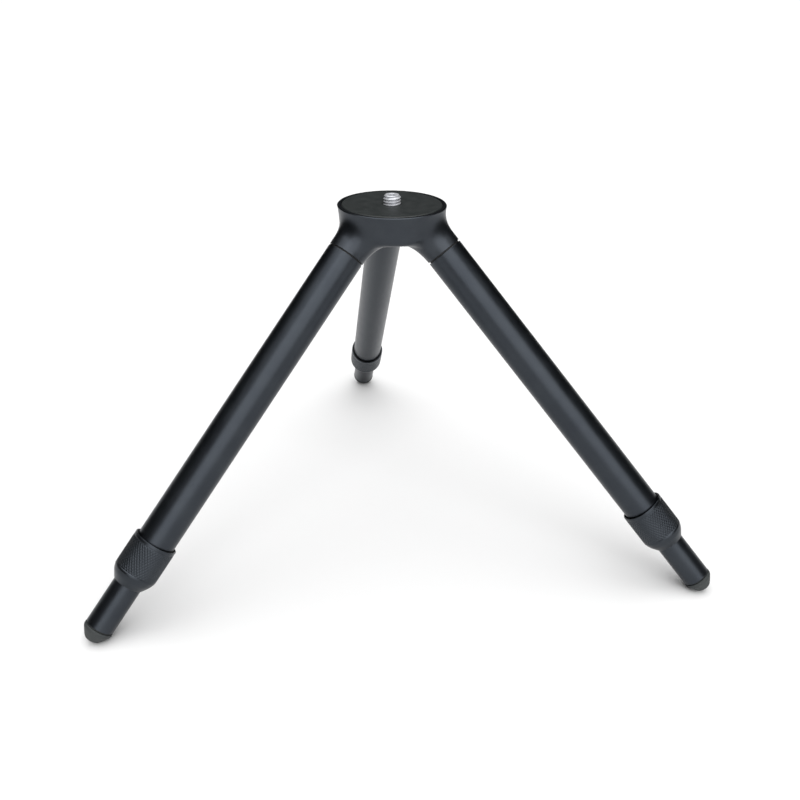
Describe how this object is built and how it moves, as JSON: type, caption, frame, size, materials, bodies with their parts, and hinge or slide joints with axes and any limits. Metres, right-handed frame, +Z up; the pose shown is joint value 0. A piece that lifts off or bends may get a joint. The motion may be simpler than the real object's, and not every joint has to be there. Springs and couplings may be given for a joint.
{
  "type": "tabletop tripod",
  "caption": "Compact tabletop tripod: round hub with a threaded stud and rubber pad, splayed screw-in legs, twist-lock collars and telescoping lower tubes on rubber feet.",
  "frame": {"origin": "on the floor, under the middle of the tripod's bounding box; the hub's axis is 48.2 mm behind it, at negative Y", "axes": "+Z up, along the stud; +Y towards the rear leg's foot; X across the two front legs"},
  "size_m": [0.3494, 0.3052, 0.2096],
  "materials": {
    "hub_anodised": "fine bead-blasted dark grey anodising, satin",
    "tube_anodised": "smooth dark blue-grey anodising, satin",
    "collar_anodised": "knurled dark blue-grey anodising, satin",
    "black_metal": "black anodised thread, satin",
    "bare_aluminium": "machined, bright",
    "steel": "turned stainless, bright",
    "pad_rubber": "fine-grained dark rubber, matt",
    "foot_rubber": "moulded dark grey rubber, matt",
    "seal_rubber": "black rubber, matt",
    "nylon": "black moulded nylon, matt"
  },
  "bodies": {
    "hub": {"hub_body": "hub_anodised", "top_pad": "pad_rubber", "mounting_screw": "steel", "screw_washer": "steel"},
    "rear_washer": {"rear_seam_washer": "nylon"},
    "rear_leg": {"rear_leg_spigot": "bare_aluminium", "rear_upper_tube": "tube_anodised", "rear_threaded_ferrule": "black_metal", "rear_collet": "nylon"},
    "rear_lock": {"rear_lock_collar": "collar_anodised", "rear_collar_seal": "seal_rubber"},
    "rear_extension": {"rear_lower_tube": "tube_anodised", "rear_guide_bush": "nylon", "rear_foot_insert": "black_metal", "rear_rubber_foot": "foot_rubber"},
    "left_washer": {"left_seam_washer": "nylon"},
    "left_leg": {"left_leg_spigot": "bare_aluminium", "left_upper_tube": "tube_anodised", "left_threaded_ferrule": "black_metal", "left_collet": "nylon"},
    "left_lock": {"left_lock_collar": "collar_anodised", "left_collar_seal": "seal_rubber"},
    "left_extension": {"left_lower_tube": "tube_anodised", "left_guide_bush": "nylon", "left_foot_insert": "black_metal", "left_rubber_foot": "foot_rubber"},
    "right_washer": {"right_seam_washer": "nylon"},
    "right_leg": {"right_leg_spigot": "bare_aluminium", "right_upper_tube": "tube_anodised", "right_threaded_ferrule": "black_metal", "right_collet": "nylon"},
    "right_lock": {"right_lock_collar": "collar_anodised", "right_collar_seal": "seal_rubber"},
    "right_extension": {"right_lower_tube": "tube_anodised", "right_guide_bush": "nylon", "right_foot_insert": "black_metal", "right_rubber_foot": "foot_rubber"}
  },
  "joints": [
    {"name": "rear_unscrew_travel", "type": "slide", "parent": "hub", "child": "rear_washer", "axis": [0, 0.682, -0.7314], "range_m": [0, 0.0105]},
    {"name": "rear_unscrew", "type": "hinge", "parent": "rear_washer", "child": "rear_leg", "pos_m": [0, -0.017, 0.18143], "axis": [0, 0.682, -0.7314], "range_deg": [0, 2520]},
    {"name": "rear_collar_twist", "type": "hinge", "parent": "rear_leg", "child": "rear_lock", "pos_m": [0, 0.11449, 0.04043], "axis": [0, 0.682, -0.7314], "range_deg": [0, 120]},
    {"name": "rear_extend", "type": "slide", "parent": "rear_leg", "child": "rear_extension", "axis": [0, 0.682, -0.7314], "range_m": [-0.025, 0.115]},
    {"name": "left_unscrew_travel", "type": "slide", "parent": "hub", "child": "left_washer", "axis": [-0.5906, -0.341, -0.7314], "range_m": [0, 0.0105]},
    {"name": "left_unscrew", "type": "hinge", "parent": "left_washer", "child": "left_leg", "pos_m": [-0.02699, -0.06375, 0.18143], "axis": [-0.5906, -0.341, -0.7314], "range_deg": [0, 2520]},
    {"name": "left_collar_twist", "type": "hinge", "parent": "left_leg", "child": "left_lock", "pos_m": [-0.14086, -0.12949, 0.04043], "axis": [-0.5906, -0.341, -0.7314], "range_deg": [0, 120]},
    {"name": "left_extend", "type": "slide", "parent": "left_leg", "child": "left_extension", "axis": [-0.5906, -0.341, -0.7314], "range_m": [-0.025, 0.115]},
    {"name": "right_unscrew_travel", "type": "slide", "parent": "hub", "child": "right_washer", "axis": [0.5906, -0.341, -0.7314], "range_m": [0, 0.0105]},
    {"name": "right_unscrew", "type": "hinge", "parent": "right_washer", "child": "right_leg", "pos_m": [0.02699, -0.06375, 0.18143], "axis": [0.5906, -0.341, -0.7314], "range_deg": [0, 2520]},
    {"name": "right_collar_twist", "type": "hinge", "parent": "right_leg", "child": "right_lock", "pos_m": [0.14086, -0.12949, 0.04043], "axis": [0.5906, -0.341, -0.7314], "range_deg": [0, 120]},
    {"name": "right_extend", "type": "slide", "parent": "right_leg", "child": "right_extension", "axis": [0.5906, -0.341, -0.7314], "range_m": [-0.025, 0.115]}
  ],
  "couplings": [
    {"joint": "rear_unscrew_travel", "follows": "rear_unscrew", "m_per_rad": 0.0002387},
    {"joint": "left_unscrew_travel", "follows": "left_unscrew", "m_per_rad": 0.0002387},
    {"joint": "right_unscrew_travel", "follows": "right_unscrew", "m_per_rad": 0.0002387}
  ]
}
